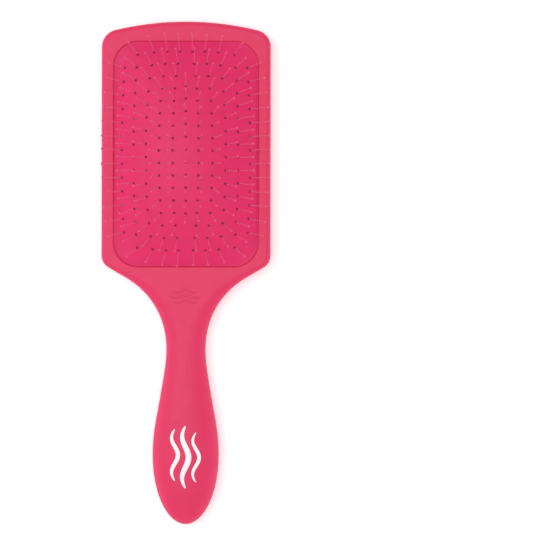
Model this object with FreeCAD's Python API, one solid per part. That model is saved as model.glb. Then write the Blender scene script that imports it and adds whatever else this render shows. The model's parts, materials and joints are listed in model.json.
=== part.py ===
"""A paddle hair brush: one moulded body, a domed rubber cushion pad, and nylon pins with ball tips.

The brush lies on its back. X runs across it, +Y towards the crown of the head, +Z out of the pad.
The origin is under the middle of its length, on the surface that it lies on. Millimetres.
"""
import FreeCAD, Part
import math
import os
import random

V = FreeCAD.Vector

# Overall
LENGTH = 266.7
CROWN_Y = LENGTH / 2
END_Y = -LENGTH / 2

# Head plate
HEAD_HALF_WIDTH = 44.85
HEAD_THICKNESS = 12.5
CROWN_RADIUS = 161.0
HEAD_CORNER_RADIUS = 9.3
BACK_EDGE_RADIUS = 5.0
FRONT_EDGE_RADIUS = 2.5
PLATE_END_Y = 20.0

# Shoulder, where the head narrows to the neck
SHOULDER_Y = 9.0
SHOULDER_RADIUS = 7.0
SHOULDER_TURN_DEG = 59.0
SHOULDER_STEPS = 6

# Neck and grip, down to where the grip is widest: Y, half width, lowest Z, highest Z
GRIP_STATIONS = [
    (-3.4, 30.6, 0.03, 12.5),
    (-9.5, 22.9, 0.12, 12.45),
    (-18.0, 16.3, 0.5, 12.4),
    (-29.0, 11.8, 1.2, 12.5),
    (-43.0, 10.45, 1.8, 13.1),
    (-57.0, 12.15, 1.6, 14.3),
    (-70.0, 14.4, 1.1, 15.7),
    (-84.0, 16.8, 0.6, 16.8),
]
GRIP_WIDEST_Y = -97.0
GRIP_HALF_WIDTH = 17.6
GRIP_LOW_Z = 0.4
GRIP_THICKNESS = 16.8

# The grip's end is half an ellipse in plan, and it thins a little more slowly than it narrows
END_STEPS = 13
END_CAP_TURN_DEG = 87.5
END_THINNING = 0.8

# Sections of the neck and grip are rounded all the way, but for these narrow flats
TOP_FLAT = 1.0
SIDE_FLAT = 0.6
ROUNDING_START_Y = 6.0
ROUNDING_END_Y = -42.0

# Recess for the pad
RECESS_HALF_X = 38.3
RECESS_HALF_Y = 59.7
RECESS_CORNER_RADIUS = 13.0
RECESS_Y = 63.0
RECESS_LIP_RADIUS = 0.8
FLOOR_Z = 3.0
LEDGE_Z = 8.7
GROOVE_TOP_Z = 11.0
GROOVE_DEPTH = 1.5
LEDGE_WIDTH = 1.4

# Vents through the back wall
VENT_RADIUS = 1.65
VENT_LIP_RADIUS = 0.5
VENT_ROWS = 13
VENT_ROW_PITCH = 9.0
VENT_PITCH = 14.1
VENTS_IN_LONG_ROW = 6
VENTS_IN_SHORT_ROW = 5

# Cushion pad
PAD_EDGE_Z = 11.4
PAD_RISE = 10.6
PAD_THICKNESS = 1.2
PAD_FIT = 0.1
BEAD_WIDTH = 2.3
BEAD_CLEARANCE = 0.08
PIN_HOLE_RADIUS = 0.5

# Pins
PIN_LENGTH = 16.6
PIN_RADIUS = 0.25
TIP_RADIUS = 0.65
ROOT_RADIUS = 1.0
ROOT_THICKNESS = 0.6
ROOT_DROP = 2.2
PIN_FAN_X = 1.47
PIN_FAN_Y = 1.7
PIN_FAN_EVENNESS = 0.8
PIN_SCATTER_DEG = 1.5
PIN_SCATTER_SEED = 7

# Columns of pins from the edge to the middle: X at mid-length, X at its ends, pins,
# highest Y and lowest Y from the middle of the recess. Each is mirrored, but for the middle one.
PIN_COLUMNS = [
    (34.0, 31.8, 13, 45.6, -41.7),
    (27.7, 25.5, 16, 52.6, -49.7),
    (21.2, 17.0, 16, 53.9, -50.7),
    (14.2, 9.9, 17, 54.3, -51.2),
    (6.9, 3.4, 17, 54.3, -51.2),
    (0.0, 0.0, 11, 36.0, -31.7),
]
COLUMN_BOW_Y = 54.0
COLUMN_BOW_POWER = 2.4
PIN_BANKS = ["upper", "middle", "lower"]


def rounded_rectangle(half_x, half_y, radius, z, height):
    """An upright prism round the middle of the recess."""
    box = Part.makeBox(2 * half_x, 2 * half_y, height, V(-half_x, RECESS_Y - half_y, z))
    upright = [e for e in box.Edges if abs(e.tangentAt(e.FirstParameter).z) > 0.9]
    return box.makeFillet(radius, upright)


# ---- Paddle body


def head_plate():
    """The flat head from the crown down to PLATE_END_Y, with its two rounded edges."""
    crown_centre = V(0, CROWN_Y - CROWN_RADIUS, 0)
    corner_x = HEAD_HALF_WIDTH - HEAD_CORNER_RADIUS
    corner_rise = math.sqrt((CROWN_RADIUS - HEAD_CORNER_RADIUS) ** 2 - corner_x**2)
    corner = V(corner_x, crown_centre.y + corner_rise, 0)
    outward = (corner - crown_centre).normalize()
    crown_end = corner + outward * HEAD_CORNER_RADIUS
    middle = (V(1, 0, 0) + outward).normalize()
    corner_middle = corner + middle * HEAD_CORNER_RADIUS
    side_top = V(HEAD_HALF_WIDTH, corner.y, 0)
    side_end = V(HEAD_HALF_WIDTH, PLATE_END_Y, 0)

    def mirrored(p):
        return V(-p.x, p.y, p.z)

    outline = Part.Wire(
        [
            Part.LineSegment(mirrored(side_end), side_end).toShape(),
            Part.LineSegment(side_end, side_top).toShape(),
            Part.Arc(side_top, corner_middle, crown_end).toShape(),
            Part.Arc(crown_end, V(0, CROWN_Y, 0), mirrored(crown_end)).toShape(),
            Part.Arc(mirrored(crown_end), mirrored(corner_middle), mirrored(side_top)).toShape(),
            Part.LineSegment(mirrored(side_top), mirrored(side_end)).toShape(),
        ]
    )
    plate = Part.Face(outline).extrude(V(0, 0, HEAD_THICKNESS))

    def rim(z):
        level = [e for e in plate.Edges if e.BoundBox.ZMin > z - 0.01 and e.BoundBox.ZMax < z + 0.01]
        return [e for e in level if e.BoundBox.YMax > PLATE_END_Y + 0.01]

    plate = plate.makeFillet(BACK_EDGE_RADIUS, rim(0))
    return plate.makeFillet(FRONT_EDGE_RADIUS, rim(HEAD_THICKNESS))


def side_stations():
    """(Y, half width, lowest Z, highest Z) from the plate's end to the tip of the grip."""
    head = (0.0, HEAD_THICKNESS)
    stations = [(y, HEAD_HALF_WIDTH) + head for y in (PLATE_END_Y, 16.0, 12.5, SHOULDER_Y)]
    for step in range(1, SHOULDER_STEPS + 1):
        turn = math.radians(SHOULDER_TURN_DEG * step / SHOULDER_STEPS)
        y = SHOULDER_Y - SHOULDER_RADIUS * math.sin(turn)
        half_width = HEAD_HALF_WIDTH - SHOULDER_RADIUS * (1 - math.cos(turn))
        stations.append((y, half_width) + head)
    stations += GRIP_STATIONS
    grip_end_length = GRIP_WIDEST_Y - END_Y
    middle_z = GRIP_LOW_Z + GRIP_THICKNESS / 2
    for step in range(END_STEPS + 1):
        # the steps close up towards the tip, where the surface turns fastest
        turn = math.radians(END_CAP_TURN_DEG) * math.sin(math.pi / 2 * step / END_STEPS)
        half_thickness = GRIP_THICKNESS / 2 * math.cos(turn) ** END_THINNING
        y = GRIP_WIDEST_Y - grip_end_length * math.sin(turn) / math.sin(math.radians(END_CAP_TURN_DEG))
        stations.append(
            (y, GRIP_HALF_WIDTH * math.cos(turn), middle_z - half_thickness, middle_z + half_thickness)
        )
    return stations


def curve_through(points, parameters, start_tangent):
    """A cubic through the points. Its start runs along start_tangent."""
    curve = Part.BSplineCurve()
    curve.interpolate(
        Points=points,
        Parameters=parameters,
        Tangents=[start_tangent] + [V(0, 0, 0)] * (len(points) - 1),
        TangentFlags=[True] + [False] * (len(points) - 1),
    )
    return curve


def smooth_step(t):
    t = min(max(t, 0.0), 1.0)
    return t * t * (3 - 2 * t)


def section_points(station, slope):
    """The twelve control points of one section: four quarter ellipses, joined by flats.

    They run anticlockwise from the right end of the top flat, seen from the crown.
    """
    y, half_width, low, high = station
    grip = smooth_step((ROUNDING_START_Y - y) / (ROUNDING_START_Y - ROUNDING_END_Y))
    stretch = math.sqrt(1 + slope**2)
    flat = min(TOP_FLAT, half_width) / 2
    side = min(SIDE_FLAT, (high - low) / 2) / 2
    round_across = half_width - flat
    round_down = (high - low) / 2 - side
    front = min((1 - grip) * FRONT_EDGE_RADIUS * stretch + grip * round_across, round_across)
    back = min((1 - grip) * BACK_EDGE_RADIUS * stretch + grip * round_across, round_across)
    front_down = (1 - grip) * FRONT_EDGE_RADIUS + grip * round_down
    back_up = (1 - grip) * BACK_EDGE_RADIUS + grip * round_down
    right = [
        (half_width - front, high),
        (half_width, high),
        (half_width, high - front_down),
        (half_width, low + back_up),
        (half_width, low),
        (half_width - back, low),
    ]
    left = [(-x, z) for x, z in reversed(right)]
    return [V(x, y, z) for x, z in right + left]


def grip_shell():
    """Shoulder, neck and grip, as one closed solid below PLATE_END_Y."""
    stations = side_stations()
    edge = [V(s[1], s[0], 0) for s in stations]
    parameters = [0.0]
    for before, after in zip(edge, edge[1:]):
        parameters.append(parameters[-1] + before.distanceToPoint(after))
    along = V(0, -1, 0)
    outline = curve_through(edge, parameters, along)
    slopes = []
    for parameter in parameters:
        tangent = outline.tangent(parameter)[0]
        slopes.append(tangent.x / min(tangent.y, -1e-3))
    sections = [section_points(s, slope) for s, slope in zip(stations, slopes)]
    rows = [curve_through(list(row), parameters, along) for row in zip(*sections)]

    faces = []
    count = len(rows)
    for first in range(0, count, 3):
        corner = rows[first : first + 3]
        flat = [rows[first + 2], rows[(first + 3) % count]]
        for strip, weights in ((corner, [1, math.sqrt(0.5), 1]), (flat, [1, 1])):
            surface = Part.BSplineSurface()
            surface.buildFromPolesMultsKnots(
                [row.getPoles() for row in strip],
                [len(strip)] * 2,
                strip[0].getMultiplicities(),
                [0, 1],
                strip[0].getKnots(),
                False,
                False,
                len(strip) - 1,
                3,
                [[w] * strip[0].NbPoles for w in weights],
            )
            faces.append(surface.toShape())

    def closing(at_end):
        edges = []
        for face in faces:
            for e in face.Edges:
                box = e.BoundBox
                y = stations[-1][0] if at_end else stations[0][0]
                if abs(box.YMin - y) < 1e-4 and abs(box.YMax - y) < 1e-4:
                    edges.append(e)
        return Part.Face(Part.Wire(Part.__sortEdges__(edges)))

    shell = Part.makeShell(faces + [closing(False), closing(True)])
    shell.sewShape()
    solid = Part.makeSolid(shell)
    if solid.Volume < 0:
        solid.reverse()
    return solid


def vent_cutter():
    """A vent at the origin, through the back wall, with its rounded outer lip."""
    rim = VENT_RADIUS + VENT_LIP_RADIUS
    top = FLOOR_Z + 1
    lip_middle = VENT_LIP_RADIUS * (1 - math.sqrt(0.5))
    points = [V(0, 0, top), V(0, 0, -1), V(rim, 0, -1), V(rim, 0, 0)]
    edges = [Part.LineSegment(a, b).toShape() for a, b in zip(points, points[1:])]
    lip_end = V(VENT_RADIUS, 0, VENT_LIP_RADIUS)
    lip = Part.Arc(V(rim, 0, 0), V(VENT_RADIUS + lip_middle, 0, lip_middle), lip_end)
    edges.append(lip.toShape())
    edges.append(Part.LineSegment(lip_end, V(VENT_RADIUS, 0, top)).toShape())
    edges.append(Part.LineSegment(V(VENT_RADIUS, 0, top), points[0]).toShape())
    return Part.Face(Part.Wire(edges)).revolve(V(0, 0, 0), V(0, 0, 1), 360)


def vent_places():
    places = []
    for row in range(VENT_ROWS):
        y = RECESS_Y + (row - (VENT_ROWS - 1) / 2) * VENT_ROW_PITCH
        count = VENTS_IN_LONG_ROW if row % 2 else VENTS_IN_SHORT_ROW
        places += [V((i - (count - 1) / 2) * VENT_PITCH, y, 0) for i in range(count)]
    return places


def paddle_body():
    body = head_plate().fuse(grip_shell()).removeSplitter()
    opening = rounded_rectangle(
        RECESS_HALF_X, RECESS_HALF_Y, RECESS_CORNER_RADIUS, LEDGE_Z, HEAD_THICKNESS
    )
    body = body.cut(opening)
    lip = []
    for e in body.Edges:
        box = e.BoundBox
        level = abs(box.ZMin - HEAD_THICKNESS) < 0.05 and abs(box.ZMax - HEAD_THICKNESS) < 0.05
        inside = box.XMax < RECESS_HALF_X + 0.05 and box.XMin > -RECESS_HALF_X - 0.05
        above = box.YMin > RECESS_Y - RECESS_HALF_Y - 0.05 and box.YMax < RECESS_Y + RECESS_HALF_Y + 0.05
        if level and inside and above:
            lip.append(e)
    body = body.makeFillet(RECESS_LIP_RADIUS, lip)
    groove = rounded_rectangle(
        RECESS_HALF_X + GROOVE_DEPTH,
        RECESS_HALF_Y + GROOVE_DEPTH,
        RECESS_CORNER_RADIUS + GROOVE_DEPTH,
        LEDGE_Z,
        GROOVE_TOP_Z - LEDGE_Z,
    )
    cavity = rounded_rectangle(
        RECESS_HALF_X - LEDGE_WIDTH,
        RECESS_HALF_Y - LEDGE_WIDTH,
        RECESS_CORNER_RADIUS - LEDGE_WIDTH,
        FLOOR_Z,
        LEDGE_Z - FLOOR_Z + 0.5,
    )
    body = body.cut(groove).cut(cavity)
    vent = vent_cutter()
    vents = [vent.translated(place) for place in vent_places()]
    return body.cut(vents)


# ---- Cushion pad


def crown(t):
    """How the pad's height falls from its middle, at t = 0, to its edge, at t = 1."""
    return 1 - 0.8 * t**2 - 0.2 * t**4


def pad_z(x, y):
    """The pad's outer surface. y is from the middle of the recess."""
    return PAD_EDGE_Z + PAD_RISE * crown(x / RECESS_HALF_X) * crown(y / RECESS_HALF_Y)


def pin_lean(x, y):
    """How far a pin leans for each unit that it rises: about square to the pad, and fanned out.

    Across the brush the lean changes less along a column than the pad's own slope does.
    """
    step = 0.01
    even_y = PIN_FAN_EVENNESS * y
    slope_x = (pad_z(x + step, even_y) - pad_z(x - step, even_y)) / (2 * step)
    slope_y = (pad_z(x, y + step) - pad_z(x, y - step)) / (2 * step)
    return V(-slope_x * PIN_FAN_X, -slope_y * PIN_FAN_Y, 0)


def below_dome(drop):
    """All that lies under the pad's surface, lowered by drop, over a little more than the recess."""
    steps_x = 12
    steps_y = 18
    grid = []
    for i in range(-steps_x, steps_x + 1):
        x = i / steps_x * (RECESS_HALF_X + 0.5)
        row = []
        for j in range(-steps_y, steps_y + 1):
            y = j / steps_y * (RECESS_HALF_Y + 0.5)
            row.append(V(x, RECESS_Y + y, pad_z(x, y) - drop))
        grid.append(row)
    surface = Part.BSplineSurface()
    surface.interpolate(grid)
    return surface.toShape().extrude(V(0, 0, -PAD_EDGE_Z - PAD_RISE))


def cushion_pad(pins):
    half_x = RECESS_HALF_X - PAD_FIT
    half_y = RECESS_HALF_Y - PAD_FIT
    radius = RECESS_CORNER_RADIUS - PAD_FIT
    dome = rounded_rectangle(half_x, half_y, radius, 0, PAD_EDGE_Z + PAD_RISE + 1)
    dome = dome.common(below_dome(0)).cut(below_dome(PAD_THICKNESS))
    reach = GROOVE_DEPTH - BEAD_CLEARANCE
    low = LEDGE_Z + BEAD_CLEARANCE
    height = GROOVE_TOP_Z - LEDGE_Z - 2 * BEAD_CLEARANCE
    bead = rounded_rectangle(
        RECESS_HALF_X + reach, RECESS_HALF_Y + reach, RECESS_CORNER_RADIUS + reach, low, height
    )
    inside = BEAD_WIDTH - reach
    bead_hole = rounded_rectangle(
        RECESS_HALF_X - inside,
        RECESS_HALF_Y - inside,
        RECESS_CORNER_RADIUS - inside,
        low - 1,
        height + 2,
    )
    pad = dome.fuse(bead.cut(bead_hole))
    holes = []
    for base, direction in pins:
        start = base - direction * 2.5
        holes.append(Part.makeCylinder(PIN_HOLE_RADIUS, 5.0, start, direction))
    return pad.cut(holes)


# ---- Pins


def column_places(column):
    """Where each pin of a column stands, as (X, Y from the middle of the recess)."""
    x_middle, x_end, count, top, bottom = column
    places = []
    for i in range(count):
        y = top + (bottom - top) * i / (count - 1)
        bow = abs(y / COLUMN_BOW_Y) ** COLUMN_BOW_POWER
        places.append((x_middle - (x_middle - x_end) * bow, y))
    return places


def pin_frames():
    """{node: [(base on the pad's surface, direction)]}, with the columns numbered across the head."""
    scatter = random.Random(PIN_SCATTER_SEED)
    slip = math.tan(math.radians(PIN_SCATTER_DEG))
    columns = [[(-x, y) for x, y in column_places(c)] for c in PIN_COLUMNS]
    columns += [column_places(c) for c in reversed(PIN_COLUMNS[:-1])]
    frames = {}
    for number, places in enumerate(columns, start=1):
        for i, (x, y) in enumerate(places):
            stray = V(scatter.uniform(-slip, slip), scatter.uniform(-slip, slip), 1)
            direction = pin_lean(x, y) + stray
            bank = PIN_BANKS[i * len(PIN_BANKS) // len(places)]
            name = f"pins_{number:02d}_{bank}"
            base = V(x, RECESS_Y + y, pad_z(x, y))
            frames.setdefault(name, []).append((base, direction.normalize()))
    return frames


def pin(base, direction):
    """One pin: a flat root head under the pad, a filament and a ball tip."""
    root = -ROOT_DROP
    neck = root + ROOT_THICKNESS
    ball = PIN_LENGTH - TIP_RADIUS
    ball_start = ball - math.sqrt(TIP_RADIUS**2 - PIN_RADIUS**2)
    corners = [
        V(0, 0, root),
        V(ROOT_RADIUS, 0, root),
        V(ROOT_RADIUS, 0, neck),
        V(PIN_RADIUS, 0, neck),
        V(PIN_RADIUS, 0, ball_start),
    ]
    edges = [Part.LineSegment(a, b).toShape() for a, b in zip(corners, corners[1:])]
    tip = V(0, 0, PIN_LENGTH)
    edges.append(Part.Arc(corners[-1], V(TIP_RADIUS, 0, ball), tip).toShape())
    edges.append(Part.LineSegment(tip, corners[0]).toShape())
    solid = Part.Face(Part.Wire(edges)).revolve(V(0, 0, 0), V(0, 0, 1), 360)
    solid.Placement = FreeCAD.Placement(base, FreeCAD.Rotation(V(0, 0, 1), direction))
    return solid


def build():
    frames = pin_frames()
    nodes = {
        "paddle_body": paddle_body(),
        "cushion_pad": cushion_pad([frame for group in frames.values() for frame in group]),
    }
    for name, group in frames.items():
        nodes[name] = Part.makeCompound([pin(base, direction) for base, direction in group])
    os.makedirs("parts", exist_ok=True)
    for name, shape in nodes.items():
        shape.exportStep(f"parts/{name}.step")
        print(f"{name}: {len(shape.Solids)} solids, {shape.Volume:.1f} mm3, valid {shape.isValid()}")


build()
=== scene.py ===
"""A pink paddle hair brush, lying on its back on a white floor.

The CAD frame, the camera, the lights and the floor are in metres. The brush's own sizes here are in
millimetres, and new_piece() turns them into metres.
"""
import json
import math
import random

import bpy
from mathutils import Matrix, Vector
from mathutils.bvhtree import BVHTree
from mathutils.geometry import delaunay_2d_cdt
from mathutils.kdtree import KDTree
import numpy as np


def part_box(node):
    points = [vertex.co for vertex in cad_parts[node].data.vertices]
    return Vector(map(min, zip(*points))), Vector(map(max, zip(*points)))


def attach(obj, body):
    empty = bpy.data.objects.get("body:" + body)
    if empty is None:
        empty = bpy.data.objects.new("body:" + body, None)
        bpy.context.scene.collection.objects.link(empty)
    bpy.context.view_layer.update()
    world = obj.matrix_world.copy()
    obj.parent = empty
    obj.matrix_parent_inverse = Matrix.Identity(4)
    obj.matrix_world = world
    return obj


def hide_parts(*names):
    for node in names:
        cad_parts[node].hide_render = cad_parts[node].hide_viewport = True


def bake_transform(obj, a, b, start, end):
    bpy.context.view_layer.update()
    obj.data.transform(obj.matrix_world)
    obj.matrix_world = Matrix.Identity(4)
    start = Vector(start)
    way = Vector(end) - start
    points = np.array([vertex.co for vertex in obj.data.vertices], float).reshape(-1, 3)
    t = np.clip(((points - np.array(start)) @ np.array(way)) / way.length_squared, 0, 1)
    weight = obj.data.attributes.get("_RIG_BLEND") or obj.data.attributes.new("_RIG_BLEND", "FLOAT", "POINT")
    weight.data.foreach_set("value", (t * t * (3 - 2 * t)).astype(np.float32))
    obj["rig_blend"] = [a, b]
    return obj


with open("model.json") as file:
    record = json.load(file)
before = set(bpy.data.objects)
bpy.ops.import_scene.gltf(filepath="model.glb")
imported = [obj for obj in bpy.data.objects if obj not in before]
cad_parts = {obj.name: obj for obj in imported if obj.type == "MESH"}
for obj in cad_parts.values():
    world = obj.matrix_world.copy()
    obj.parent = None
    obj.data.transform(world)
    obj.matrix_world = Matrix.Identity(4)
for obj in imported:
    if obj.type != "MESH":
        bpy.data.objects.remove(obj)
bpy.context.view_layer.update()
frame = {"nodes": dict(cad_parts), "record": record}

MM = 0.001

# Camera: straight over the brush, which lies left of the picture's middle
CAMERA_HEIGHT = 2.0
CAMERA_X = 44.6 * MM
CAMERA_Y = 1.6 * MM
CAMERA_LENS = 250.0
CAMERA_TURN_DEG = 0.1

# Studio: a dim white room and softboxes over a white floor that glows a little. The camera sees the
# room as a backdrop as bright as the floor's far edge. Softboxes are (name, place, size, power).
ROOM_LIGHT = 0.58
SEEN_BACKDROP = 0.8
FLOOR_GLOW = 0.25
SOFTBOXES = [
    ("top", (-0.28, 0.12, 1.3), (0.6, 1.2), 8.0),
    ("left", (-0.8, 0.0, 0.18), (1.2, 0.25), 1.6),
    ("right", (0.8, -0.2, 0.18), (1.2, 0.25), 1.6),
    ("foot", (0.0, -0.8, 0.18), (0.6, 0.25), 0.5),
]
LIGHT_TARGET = (0.0, 0.0, 0.0)
FLOOR_SIZE = 8.0
FLOOR_DROP = 0.05 * MM

# Pad: a rubber dome with a hole for each pin. Its edge turns up a little against the wall of the
# recess, then goes down into a groove, where it ends in a bead.
# Places in plan are from the middle of the recess, and heights are the CAD frame's. Insets are from
# the wall of the recess, inwards.
BEAD_REACH = 1.42
RECESS_CORNER = 13.0
PAD_RISE = 10.6
# The dome falls off by these shares of the square and the fourth power of how far out a place is
DOME_SQUARE = 0.8
DOME_FOURTH = 0.2
PAD_THICKNESS = 1.2
PAD_FIT = 0.1
PAD_EDGE_LIFT = 0.3
PAD_EDGE_WIDTH = 1.2
# Insets that the mesh's edges follow, on top and, besides the bead's own, underneath
PAD_INSETS = [PAD_FIT, 0.3, 0.55, 0.85, 1.2, 1.7, 2.4]
PAD_UNDER_INSET = 2.0
# Between the holes: a triangular grid, its row spacing, and how clear it stays of holes and insets
PAD_GRID = 2.1
GRID_ROW_SHARE = 0.866
GRID_CLEARANCE = 0.45 * PAD_GRID
# Points of the mesh closer than this are one
MERGE_DISTANCE = 0.00001
# (inset, height) from the pad's top edge, round the bead, to its underside
BEAD_PROFILE = [(0.08, 11.3), (0.08, 11.0), (0.0, 10.75), (-0.3, 10.8), (-0.6, 10.86), (-1.2, 10.9),
                (-1.42, 10.7), (-1.42, 9.0), (-1.2, 8.8), (0.9, 8.8)]
HOLE_RADIUS = 0.57
HOLE_UNDER_RADIUS = 0.88
LIP_RADIUS = 0.22
# Distances from a hole's edge to the rings round it
HOLE_RINGS = [0.0, 0.02, 0.08, 0.22, 0.55]
HOLE_SIDES = 16
# Rounds in which a hole's underside is brought into line with its pin
HOLE_FIT_ROUNDS = 4
CORNER_STEPS = 12
SIDE_STEP = 2.2
# Pressed, the pad stays put from the wall to the first inset, and sinks with the pins past the second
PRESS_START = 0.9
PRESS_FULL = 3.5

# Pins
TIP_RADIUS = 0.65
PIN_LENGTH = 16.6
ROOT_DROP = 2.2
PIN_SIDES = 12
PIN_STEP = 1.3
PIN_BOW = 0.15
PIN_BOW_SHARES = (0.3, 1.0)
PIN_SEED = 11
# CAD vertices this close are one. Those within BALL_REACH of the ball's middle are on the ball, and
# those whose distance from it is this near the greatest are on the root head's rim.
WELD = 0.0005
BALL_REACH = TIP_RADIUS * 1.3
ROOT_RIM_MARGIN = 0.05
# (distance from the foot of the pin, radius), up to where it begins to narrow into the filament
ROOT_PROFILE = [(0.0, 0.82), (0.06, 0.94), (0.14, 1.0), (0.26, 1.0), (0.34, 0.95), (0.42, 0.8),
                (0.5, 0.52), (0.68, 0.36), (1.0, 0.3)]
FILAMENT_START = 1.4
FILAMENT_FOOT_RADIUS = 0.29
FILAMENT_TOP_RADIUS = 0.2
# The filament ends short of the ball and widens into it. Gaps are from the ball's neck.
FILAMENT_END_GAP = 0.35
NECK_GAP = 0.12
NECK_START_RADIUS = 1.08 * FILAMENT_TOP_RADIUS
NECK_RADIUS = 1.35 * FILAMENT_TOP_RADIUS
BALL_STEPS = 8
# Numbers of the two materials in a pin's mesh
FILAMENT = 0
MOULDED_END = 1

# Marks: (x, y, length, width) of each printed strand, from its upper end, and (y, length) of each
# raised one. Lifts are the heights of a strand's top across its width, and sink is how deep its
# underside lies. The body's surface is found by a ray that comes down from over everything.
PRINTED_STRANDS = [(-5.6, -82.6, 27.5, 2.3), (0.0, -81.0, 33.0, 3.0), (5.6, -84.4, 26.5, 2.0)]
PRINTED_SWING = 1.7
PRINTED_LIFTS = [0.0, 0.05, 0.05, 0.05, 0.0]
RAISED_STRANDS = [(-9.9, 13.0), (-12.7, 17.0), (-15.5, 13.0)]
RAISED_WIDTH = 1.3
RAISED_SWING = 0.75
RAISED_LIFTS = [-0.02, 0.09, 0.14, 0.09, -0.02]
STRAND_WAVES = 1.5
STRAND_SINK = 0.1
STRAND_END_SHARE = 0.06
STRAND_STEPS = 72
RAY_START_Z = 100.0 * MM

# Colours, as screen values but for the floor's, which is linear
BODY_COLOUR = (223, 53, 98)
PAD_COLOUR = (223, 42, 102)
FILAMENT_COLOUR = (242, 120, 156)
TIP_COLOUR = (223, 63, 107)
INK_COLOUR = (250, 240, 241)
FLOOR_COLOUR = (0.93, 0.93, 0.93, 1.0)

# Materials: how far light travels inside a surface, and the part of a noise's range that is used
GLOW_REACH = 1.2 * MM
NOISE_LOW = 0.3
NOISE_HIGH = 0.7


# ---- Materials


def srgb(r, g, b):
    """A colour given as 0 to 255 screen values, as the shader's linear one."""
    def linear(c):
        c /= 255
        return c / 12.92 if c <= 0.04045 else ((c + 0.055) / 1.055) ** 2.4
    return (linear(r), linear(g), linear(b), 1.0)


def shaded(colour, share):
    """The colour, darker where share is under 1 and lighter where it is over."""
    return tuple(min(1.0, c * share) for c in colour[:3]) + (1.0,)


class Surface:
    """A Principled material whose colour, roughness and bump vary with place."""

    def __init__(self, name):
        self.material = bpy.data.materials.new(name)
        self.material.use_nodes = True
        self.nodes = self.material.node_tree.nodes
        self.links = self.material.node_tree.links
        self.shader = self.nodes["Principled BSDF"]
        self.place = self.nodes.new("ShaderNodeTexCoord").outputs["Object"]
        self.last_bump = None

    def set(self, **values):
        for name, value in values.items():
            self.shader.inputs[name.replace("_", " ")].default_value = value

    def glow_inside(self, share):
        """Light that enters the surface and comes out nearby, the red of it furthest."""
        self.set(Subsurface_Weight=share, Subsurface_Radius=(1.0, 0.25, 0.3), Subsurface_Scale=GLOW_REACH)

    def noise(self, size, detail=3.0, stretch=None):
        """Noise whose blotches are about size millimetres. stretch scales places along each axis."""
        node = self.nodes.new("ShaderNodeTexNoise")
        node.inputs["Scale"].default_value = 1 / (size * MM)
        node.inputs["Detail"].default_value = detail
        place = self.place
        if stretch:
            mapping = self.nodes.new("ShaderNodeMapping")
            mapping.inputs["Scale"].default_value = stretch
            self.links.new(place, mapping.inputs["Vector"])
            place = mapping.outputs["Vector"]
        self.links.new(place, node.inputs["Vector"])
        return node.outputs["Fac"]

    def colour(self, colour, size, spread):
        """The colour, with blotches lighter and darker by up to spread."""
        ramp = self.nodes.new("ShaderNodeValToRGB")
        ramp.color_ramp.elements[0].position = NOISE_LOW
        ramp.color_ramp.elements[0].color = shaded(colour, 1 - spread)
        ramp.color_ramp.elements[1].position = NOISE_HIGH
        ramp.color_ramp.elements[1].color = shaded(colour, 1 + spread)
        self.links.new(self.noise(size), ramp.inputs["Fac"])
        self.links.new(ramp.outputs["Color"], self.shader.inputs["Base Color"])

    def roughness(self, low, high, size):
        """Roughness from low to high, in blotches of about size millimetres."""
        spread = self.nodes.new("ShaderNodeMapRange")
        spread.inputs["From Min"].default_value = NOISE_LOW
        spread.inputs["From Max"].default_value = NOISE_HIGH
        spread.inputs["To Min"].default_value = low
        spread.inputs["To Max"].default_value = high
        self.links.new(self.noise(size), spread.inputs["Value"])
        self.links.new(spread.outputs["Result"], self.shader.inputs["Roughness"])

    def grain(self, size, depth, strength=1.0, stretch=None):
        """Fine relief: blotches of size and depth millimetres, on top of any grain before it."""
        bump = self.nodes.new("ShaderNodeBump")
        bump.inputs["Distance"].default_value = depth * MM
        bump.inputs["Strength"].default_value = strength
        self.links.new(self.noise(size, detail=2.0, stretch=stretch), bump.inputs["Height"])
        if self.last_bump:
            self.links.new(self.last_bump, bump.inputs["Normal"])
        self.last_bump = bump.outputs["Normal"]
        self.links.new(self.last_bump, self.shader.inputs["Normal"])


def soft_touch_body():
    """Hard plastic with a matt soft-touch coat: very fine grain, and a faint bloom at low angles."""
    surface = Surface("body_soft_touch")
    surface.colour(srgb(*BODY_COLOUR), 14.0, 0.02)
    surface.roughness(0.42, 0.5, 3.0)
    surface.grain(6.0, 0.012, 0.5)
    surface.grain(0.16, 0.014, 0.6)
    surface.set(Sheen_Weight=0.04, Sheen_Roughness=0.45, Specular_IOR_Level=0.25)
    surface.glow_inside(0.2)
    return surface.material


def pad_rubber():
    """Smooth moulded rubber with a satin skin."""
    surface = Surface("pad_rubber")
    surface.colour(srgb(*PAD_COLOUR), 9.0, 0.025)
    surface.roughness(0.42, 0.52, 2.0)
    surface.grain(4.5, 0.02, 0.6)
    surface.grain(0.3, 0.01, 0.6)
    surface.set(Specular_IOR_Level=0.25)
    surface.glow_inside(0.35)
    return surface.material


def nylon_filament():
    """Drawn nylon, half clear, with faint lengthwise marks."""
    surface = Surface("pin_nylon")
    surface.colour(srgb(*FILAMENT_COLOUR), 1.5, 0.04)
    surface.roughness(0.25, 0.36, 0.8)
    surface.grain(0.12, 0.004, 0.6, (1.0, 1.0, 0.12))
    surface.set(Alpha=0.34, IOR=1.53)
    return surface.material


def tip_resin():
    """The moulded ends, tip and root: denser, glossier and pinker than the filaments."""
    surface = Surface("pin_tip")
    surface.colour(srgb(*TIP_COLOUR), 0.6, 0.04)
    surface.roughness(0.22, 0.32, 0.3)
    surface.grain(0.1, 0.003, 0.5)
    surface.set(Coat_Weight=0.15, Coat_Roughness=0.15)
    return surface.material


def white_ink():
    surface = Surface("grip_ink")
    surface.colour(srgb(*INK_COLOUR), 0.7, 0.02)
    surface.roughness(0.45, 0.6, 0.5)
    surface.grain(0.2, 0.006, 0.7)
    return surface.material


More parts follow.
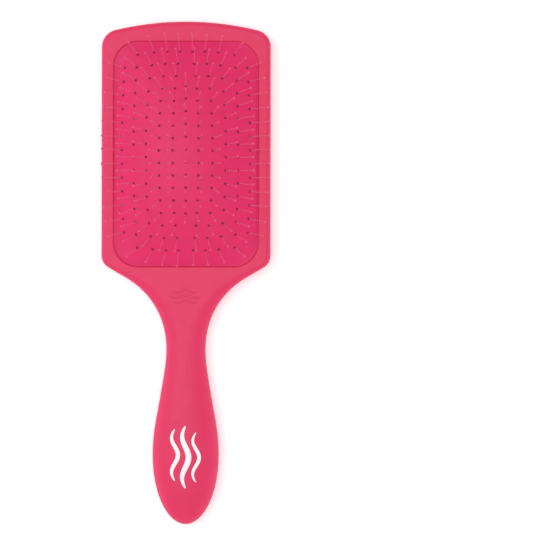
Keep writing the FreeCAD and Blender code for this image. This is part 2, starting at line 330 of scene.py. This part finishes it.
def floor_paint():
    surface = Surface("floor_white")
    surface.colour(FLOOR_COLOUR, 300.0, 0.004)
    surface.roughness(0.75, 0.85, 60.0)
    surface.set(Emission_Color=(1, 1, 1, 1), Emission_Strength=FLOOR_GLOW)
    return surface.material


# ---- Meshes


def new_piece(name, points, faces, materials, face_materials=None):
    """A smooth mesh of points in millimetres, as a piece with these materials, set per face by
    face_materials if given.
    """
    mesh = bpy.data.meshes.new(name)
    mesh.from_pydata([Vector(p) * MM for p in points], [], faces)
    for made in materials:
        mesh.materials.append(made)
    if face_materials:
        mesh.polygons.foreach_set("material_index", face_materials)
    mesh.shade_smooth()
    mesh.update()
    piece = bpy.data.objects.new(name, mesh)
    bpy.context.scene.collection.objects.link(piece)
    return piece


def band(lower, upper):
    """Quads between two closed rings of as many points, given by their numbers."""
    count = len(lower)
    return [(lower[i], lower[(i + 1) % count], upper[(i + 1) % count], upper[i]) for i in range(count)]


def turned(profile, axis_point, side_a, side_b, sides, first_number):
    """A turned shape, open at both ends: its points, its faces, and the numbers of each ring.

    profile is a list of (distance along the axis, radius), and axis_point gives the axis at a distance.
    """
    points = []
    faces = []
    for s, radius in profile:
        centre = axis_point(s)
        for k in range(sides):
            turn = 2 * math.pi * k / sides
            points.append(centre + (side_a * math.cos(turn) + side_b * math.sin(turn)) * radius)
    rings = [[first_number + i * sides + k for k in range(sides)] for i in range(len(profile))]
    for lower, upper in zip(rings, rings[1:]):
        faces += band(lower, upper)
    return points, faces, rings


# ---- Pins


class Pin:
    """Where one pin stands, in millimetres, found from the vertices of its CAD solid.

    It keeps the foot, the direction, the middle of the ball, and the base, where it leaves the pad.
    """

    def __init__(self, points):
        highest = max(points, key=lambda p: p.z)
        middle = highest - Vector((0, 0, TIP_RADIUS))
        on_ball = [p for p in points if (p - middle).length < BALL_REACH]
        ball = sum(on_ball, Vector()) / len(on_ball)
        reach = max((p - ball).length for p in points)
        rim = [p for p in points if (p - ball).length > reach - ROOT_RIM_MARGIN]
        self.foot = sum(rim, Vector()) / len(rim)
        self.direction = (ball - self.foot).normalized()
        self.ball = self.foot + self.direction * (ROOT_DROP + PIN_LENGTH - TIP_RADIUS)
        self.base = self.foot + self.direction * ROOT_DROP


def solids(node):
    """The separate solids of a CAD node, each as its list of points in millimetres."""
    numbers = {}
    points = []
    number_of = []
    for vertex in node.data.vertices:
        place = vertex.co / MM
        key = tuple(round(c / WELD) for c in place)
        if key not in numbers:
            numbers[key] = len(points)
            points.append(place)
        number_of.append(numbers[key])
    leader = list(range(len(points)))

    def find(i):
        while leader[i] != i:
            leader[i] = leader[leader[i]]
            i = leader[i]
        return i

    for edge in node.data.edges:
        a, b = (find(number_of[v]) for v in edge.vertices)
        leader[a] = b
    groups = {}
    for i, place in enumerate(points):
        groups.setdefault(find(i), []).append(place)
    return [groups[i] for i in sorted(groups)]


def pin_mesh(pin, scatter, first_number):
    """One pin: a root head, a slightly bowed and tapered filament, and a ball tip.

    It returns the points, the faces and each face's material.
    """
    side_a = pin.direction.orthogonal().normalized()
    side_b = pin.direction.cross(side_a)
    heading = scatter.uniform(0, 2 * math.pi)
    sideways = side_a * math.cos(heading) + side_b * math.sin(heading)
    bow = sideways * scatter.uniform(*PIN_BOW_SHARES) * PIN_BOW
    ball_at = (pin.ball - pin.foot).length

    def axis_point(s):
        share = min(max((s - ROOT_DROP) / (ball_at - ROOT_DROP), 0.0), 1.0)
        return pin.foot + pin.direction * s + bow * math.sin(math.pi * share) ** 2

    neck_turn = math.asin(NECK_RADIUS / TIP_RADIUS)
    neck_at = ball_at - TIP_RADIUS * math.cos(neck_turn)
    plain_length = neck_at - FILAMENT_END_GAP - FILAMENT_START
    steps = round(plain_length / PIN_STEP)
    profile = list(ROOT_PROFILE)
    for i in range(steps + 1):
        share = i / steps
        radius = FILAMENT_FOOT_RADIUS + (FILAMENT_TOP_RADIUS - FILAMENT_FOOT_RADIUS) * share
        profile.append((FILAMENT_START + plain_length * share, radius))
    profile.append((neck_at - NECK_GAP, NECK_START_RADIUS))
    ball_first = len(profile)
    for i in range(BALL_STEPS):
        turn = neck_turn + (math.pi - neck_turn) * i / BALL_STEPS
        profile.append((ball_at - TIP_RADIUS * math.cos(turn), TIP_RADIUS * math.sin(turn)))

    points, faces, rings = turned(profile, axis_point, side_a, side_b, PIN_SIDES, first_number)
    kinds = []
    for row in range(len(profile) - 1):
        in_filament = len(ROOT_PROFILE) - 1 <= row < ball_first - 1
        kinds += [FILAMENT if in_filament else MOULDED_END] * PIN_SIDES
    for ring, at in ((rings[0][::-1], 0.0), (rings[-1], ball_at + TIP_RADIUS)):
        middle = first_number + len(points)
        points.append(axis_point(at))
        faces += [(middle, ring[i], ring[(i + 1) % PIN_SIDES]) for i in range(PIN_SIDES)]
        kinds += [MOULDED_END] * PIN_SIDES
    return points, faces, kinds


def make_pins():
    """One piece for each CAD node of pins. Returns every pin, for the pad's holes."""
    materials = [nylon_filament(), tip_resin()]
    scatter = random.Random(PIN_SEED)
    every_pin = []
    for body, nodes in sorted(frame["record"]["behaviour"]["bodies"].items()):
        for name in nodes:
            if not name.startswith("pins_"):
                continue
            points = []
            faces = []
            kinds = []
            for solid in solids(frame["nodes"][name]):
                pin = Pin(solid)
                every_pin.append(pin)
                pin_points, pin_faces, pin_kinds = pin_mesh(pin, scatter, len(points))
                points += pin_points
                faces += pin_faces
                kinds += pin_kinds
            piece = new_piece(f"{name}_nylon", points, faces, materials, kinds)
            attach(piece, body)
            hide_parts(name)
    return every_pin


# ---- Pad


class Pad:
    """The cushion pad, made round the middle of its recess."""

    def __init__(self, pins):
        low, high = (Vector(corner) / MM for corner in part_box("cushion_pad"))
        self.middle = (low + high) / 2
        self.half_x = (high.x - low.x) / 2 - BEAD_REACH
        self.half_y = (high.y - low.y) / 2 - BEAD_REACH
        self.edge_z = high.z - PAD_RISE
        self.holes = [self.hole(pin) for pin in pins]

    def local(self, p):
        """A place in plan, from the middle of the recess."""
        return Vector((p.x - self.middle.x, p.y - self.middle.y))

    def hole(self, pin):
        """(the hole's middle on top, its middle underneath), both in plan, in line with the pin."""
        top = self.local(pin.base)
        under = top.copy()
        for _ in range(HOLE_FIT_ROUNDS):
            drop = self.height(top.x, top.y) - self.height(under.x, under.y) + PAD_THICKNESS
            lean = Vector((pin.direction.x, pin.direction.y)) / pin.direction.z
            under = top - lean * drop
        return top, under

    def inset(self, x, y):
        """How far in a place is from the wall of the recess."""
        across = abs(x) - (self.half_x - RECESS_CORNER)
        along = abs(y) - (self.half_y - RECESS_CORNER)
        if across > 0 and along > 0:
            return RECESS_CORNER - math.hypot(across, along)
        return min(RECESS_CORNER - across, RECESS_CORNER - along)

    def height(self, x, y):
        """The outer surface, without the holes' lips."""
        def crown(t):
            return 1 - DOME_SQUARE * t**2 - DOME_FOURTH * t**4
        dome = PAD_RISE * crown(x / self.half_x) * crown(y / self.half_y)
        nearness = max(0.0, 1 - self.inset(x, y) / PAD_EDGE_WIDTH)
        return self.edge_z + dome + PAD_EDGE_LIFT * nearness**2

    def loop(self, inset):
        """A closed loop at an inset, always with the same number of points."""
        radius = RECESS_CORNER - inset
        corner_x = self.half_x - RECESS_CORNER
        corner_y = self.half_y - RECESS_CORNER
        centres = [
            (corner_x, corner_y), (-corner_x, corner_y), (-corner_x, -corner_y), (corner_x, -corner_y)
        ]
        points = []
        for quarter, (x, y) in enumerate(centres):
            for i in range(CORNER_STEPS + 1):
                turn = math.pi / 2 * (quarter + i / CORNER_STEPS)
                points.append(Vector((x + radius * math.cos(turn), y + radius * math.sin(turn))))
            next_x, next_y = centres[(quarter + 1) % 4]
            along = Vector((next_x - x, next_y - y))
            steps = round(along.length / SIDE_STEP)
            last = points[-1]
            points += [last + along * (i / steps) for i in range(1, steps)]
        return points

    def grid(self, near, hole_radius, inset):
        """Points of a triangular grid that are clear of every hole and of the loop at the inset."""
        points = []
        rows = int(self.half_y / (PAD_GRID * GRID_ROW_SHARE)) + 1
        columns = int(self.half_x / PAD_GRID) + 1
        for j in range(-rows, rows + 1):
            for i in range(-columns, columns + 1):
                place = Vector(((i + 0.5 * (j % 2)) * PAD_GRID, j * PAD_GRID * GRID_ROW_SHARE))
                clear = near.find((place.x, place.y, 0))[2] > hole_radius + GRID_CLEARANCE
                if clear and self.inset(place.x, place.y) > inset + GRID_CLEARANCE:
                    points.append(place)
        return points

    def sheet(self, insets, centres, radii):
        """A flat triangle mesh with a round hole at each centre.

        Its edges follow a loop at each inset, and a ring of each radius round each hole. It returns the
        points, the faces, the outermost loop, the innermost rings and a search tree of the centres.
        """
        points = []
        edges = []

        def add_ring(ring):
            numbers = list(range(len(points), len(points) + len(ring)))
            points.extend(ring)
            edges.extend(zip(numbers, numbers[1:] + numbers[:1]))
            return numbers

        loops = [add_ring(self.loop(inset)) for inset in insets]
        turns = [2 * math.pi * k / HOLE_SIDES for k in range(HOLE_SIDES)]
        around = [Vector((math.cos(t), math.sin(t))) for t in turns]
        rings = []
        for centre in centres:
            hole_rings = [add_ring([centre + a * r for a in around]) for r in radii]
            rings.append(hole_rings[0])
        near = KDTree(len(centres))
        for i, centre in enumerate(centres):
            near.insert((centre.x, centre.y, 0), i)
        near.balance()
        points += self.grid(near, radii[-1], insets[-1])

        made = delaunay_2d_cdt(points, edges, [], 0, MERGE_DISTANCE)
        coords, triangles, origins = made[0], made[2], made[3]
        number_of = {source: i for i, sources in enumerate(origins) for source in sources}
        faces = []
        for face in triangles:
            middle = sum((coords[i] for i in face), Vector((0, 0))) / 3
            if near.find((middle.x, middle.y, 0))[2] > radii[0] * math.cos(math.pi / HOLE_SIDES):
                faces.append(tuple(face))
        outer = [number_of[i] for i in loops[0]]
        rings = [[number_of[i] for i in ring] for ring in rings]
        return coords, faces, outer, rings, near

    def lip(self, near, x, y):
        """How far the top drops where it rounds into the nearest hole."""
        into_lip = HOLE_RADIUS + LIP_RADIUS - near.find((x, y, 0))[2]
        if into_lip <= 0:
            return 0.0
        return LIP_RADIUS - math.sqrt(max(0.0, LIP_RADIUS**2 - into_lip**2))

    def mesh(self):
        """The pad as one closed shell: top, hole walls, underside and bead."""
        radii = [HOLE_RADIUS + r for r in HOLE_RINGS]
        tops = [top for top, under in self.holes]
        unders = [under for top, under in self.holes]
        top, top_faces, top_loop, top_rings, near = self.sheet(PAD_INSETS, tops, radii)
        points = []
        for p in top:
            points.append(Vector((p.x, p.y, self.height(p.x, p.y) - self.lip(near, p.x, p.y))))
        faces = list(top_faces)

        under_insets = [BEAD_PROFILE[-1][0], PAD_UNDER_INSET]
        under_radii = [HOLE_UNDER_RADIUS, HOLE_UNDER_RADIUS + HOLE_RINGS[-1]]
        under, under_faces, under_loop, under_rings, _ = self.sheet(under_insets, unders, under_radii)
        first = len(points)
        points += [Vector((p.x, p.y, self.height(p.x, p.y) - PAD_THICKNESS)) for p in under]
        faces += [tuple(first + i for i in reversed(face)) for face in under_faces]
        for upper, lower in zip(top_rings, under_rings):
            faces += band(upper, [first + i for i in lower])

        ring = top_loop
        for inset, z in BEAD_PROFILE:
            loop = self.loop(inset)
            numbers = list(range(len(points), len(points) + len(loop)))
            points += [Vector((p.x, p.y, z)) for p in loop]
            faces += band(numbers, ring)
            ring = numbers
        faces += band([first + i for i in under_loop], ring)
        shift = Vector((self.middle.x, self.middle.y, 0))
        return [p + shift for p in points], faces

    def press_weights(self, piece):
        """The bead stays in its groove, and from PRESS_FULL inwards the dome sinks with the pins.
        """
        weights = piece.data.attributes["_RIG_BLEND"].data
        for vertex, weight in zip(piece.data.vertices, weights):
            place = self.local(vertex.co / MM)
            t = (self.inset(place.x, place.y) - PRESS_START) / (PRESS_FULL - PRESS_START)
            t = min(max(t, 0.0), 1.0)
            weight.value = t * t * (3 - 2 * t)


def make_pad(pins):
    pad = Pad(pins)
    points, faces = pad.mesh()
    piece = new_piece("cushion_pad_rubber", points, faces, [pad_rubber()])
    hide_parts("cushion_pad")
    low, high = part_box("cushion_pad")
    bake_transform(piece, "paddle", "cushion", start=(0, 0, low[2]), end=(0, 0, high[2]))
    pad.press_weights(piece)


# ---- Marks on the body


class BodySurface:
    """The body's outer surface, as a height over each place."""

    def __init__(self):
        mesh = frame["nodes"]["paddle_body"].data
        self.tree = BVHTree.FromPolygons(
            [v.co for v in mesh.vertices], [p.vertices for p in mesh.polygons]
        )

    def z(self, x, y):
        above = Vector((x * MM, y * MM, RAY_START_Z))
        place, _, _, _ = self.tree.ray_cast(above, Vector((0, 0, -1)))
        return place.z / MM


def wavy_strand(surface, start, heading, length, width, swing, lifts):
    """One strand of hair as a closed ribbon laid on the body.

    It runs from start along heading, swings to both sides, and narrows to both ends.
    """
    across = Vector((heading.y, -heading.x))
    rows = []
    points = []
    for i in range(STRAND_STEPS + 1):
        t = i / STRAND_STEPS
        turn = 2 * math.pi * STRAND_WAVES * t
        centre = start + heading * (length * t) + across * (swing * math.sin(turn))
        slope = 2 * math.pi * STRAND_WAVES * swing / length * math.cos(turn)
        side = (across - heading * slope).normalized()
        half = width / 2 * (STRAND_END_SHARE + (1 - STRAND_END_SHARE) * math.sin(math.pi * t) ** 0.5)
        row = []
        for k, lift in enumerate(lifts):
            place = centre + side * half * (2 * k / (len(lifts) - 1) - 1)
            row.append(Vector((place.x, place.y, surface.z(place.x, place.y) + lift)))
        for place in (centre + side * half, centre - side * half):
            row.append(Vector((place.x, place.y, surface.z(place.x, place.y) - STRAND_SINK)))
        rows.append(list(range(len(points), len(points) + len(row))))
        points += row
    faces = []
    for before, after in zip(rows, rows[1:]):
        faces += band(before, after)
    faces.append(tuple(reversed(rows[0])))
    faces.append(tuple(rows[-1]))
    return points, faces


def strand_group(name, strands, material):
    """One piece of several strands, which goes with the body."""
    points = []
    faces = []
    for strand_points, strand_faces in strands:
        first = len(points)
        points += strand_points
        faces += [tuple(first + i for i in face) for face in strand_faces]
    piece = new_piece(name, points, faces, [material])
    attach(piece, "paddle")


def make_marks(body_material):
    """Plain hair-strand motifs: printed white on the grip, and raised under the pad."""
    surface = BodySurface()
    down = Vector((0, -1))
    printed = []
    for x, y, length, width in PRINTED_STRANDS:
        start = Vector((x, y))
        printed.append(wavy_strand(surface, start, down, length, width, PRINTED_SWING, PRINTED_LIFTS))
    strand_group("grip_print", printed, white_ink())
    right = Vector((1, 0))
    raised = []
    for y, length in RAISED_STRANDS:
        start = Vector((-length / 2, y))
        raised.append(wavy_strand(surface, start, right, length, RAISED_WIDTH, RAISED_SWING, RAISED_LIFTS))
    strand_group("neck_relief", raised, body_material)


# ---- Studio


def camera():
    data = bpy.data.cameras.new("camera")
    data.lens = CAMERA_LENS
    data.clip_start = 0.01
    data.clip_end = 20.0
    made = bpy.data.objects.new("camera", data)
    made.location = (CAMERA_X, CAMERA_Y, CAMERA_HEIGHT)
    made.rotation_euler = (0, 0, math.radians(CAMERA_TURN_DEG))
    bpy.context.scene.collection.objects.link(made)
    bpy.context.scene.camera = made


def softbox(name, place, size, power):
    data = bpy.data.lights.new(name, "AREA")
    data.shape = "RECTANGLE"
    data.size, data.size_y = size
    data.energy = power
    made = bpy.data.objects.new(name, data)
    made.location = place
    made.rotation_euler = (Vector(LIGHT_TARGET) - Vector(place)).to_track_quat("-Z", "Y").to_euler()
    bpy.context.scene.collection.objects.link(made)


def room():
    """Dim white light from all round. Seen past the floor's edge, it is as bright as the floor there."""
    world = bpy.data.worlds.new("studio")
    bpy.context.scene.world = world
    world.use_nodes = True
    nodes = world.node_tree.nodes
    links = world.node_tree.links
    lit = nodes["Background"]
    lit.inputs["Color"].default_value = (1, 1, 1, 1)
    lit.inputs["Strength"].default_value = ROOM_LIGHT
    seen = nodes.new("ShaderNodeBackground")
    seen.inputs["Color"].default_value = (1, 1, 1, 1)
    seen.inputs["Strength"].default_value = SEEN_BACKDROP
    choice = nodes.new("ShaderNodeMixShader")
    links.new(nodes.new("ShaderNodeLightPath").outputs["Is Camera Ray"], choice.inputs["Fac"])
    links.new(lit.outputs["Background"], choice.inputs[1])
    links.new(seen.outputs["Background"], choice.inputs[2])
    links.new(choice.outputs["Shader"], nodes["World Output"].inputs["Surface"])


def floor():
    half = FLOOR_SIZE / 2
    mesh = bpy.data.meshes.new("floor")
    corners = [(-half, -half, 0), (half, -half, 0), (half, half, 0), (-half, half, 0)]
    mesh.from_pydata(corners, [], [(0, 1, 2, 3)])
    mesh.materials.append(floor_paint())
    made = bpy.data.objects.new("floor", mesh)
    made.location.z = -FLOOR_DROP
    bpy.context.scene.collection.objects.link(made)


camera()
room()
for softbox_values in SOFTBOXES:
    softbox(*softbox_values)
floor()
bpy.context.scene.view_settings.view_transform = "Standard"

body_material = soft_touch_body()
body = frame["nodes"]["paddle_body"]
body.data.materials.clear()
body.data.materials.append(body_material)
make_pad(make_pins())
make_marks(body_material)
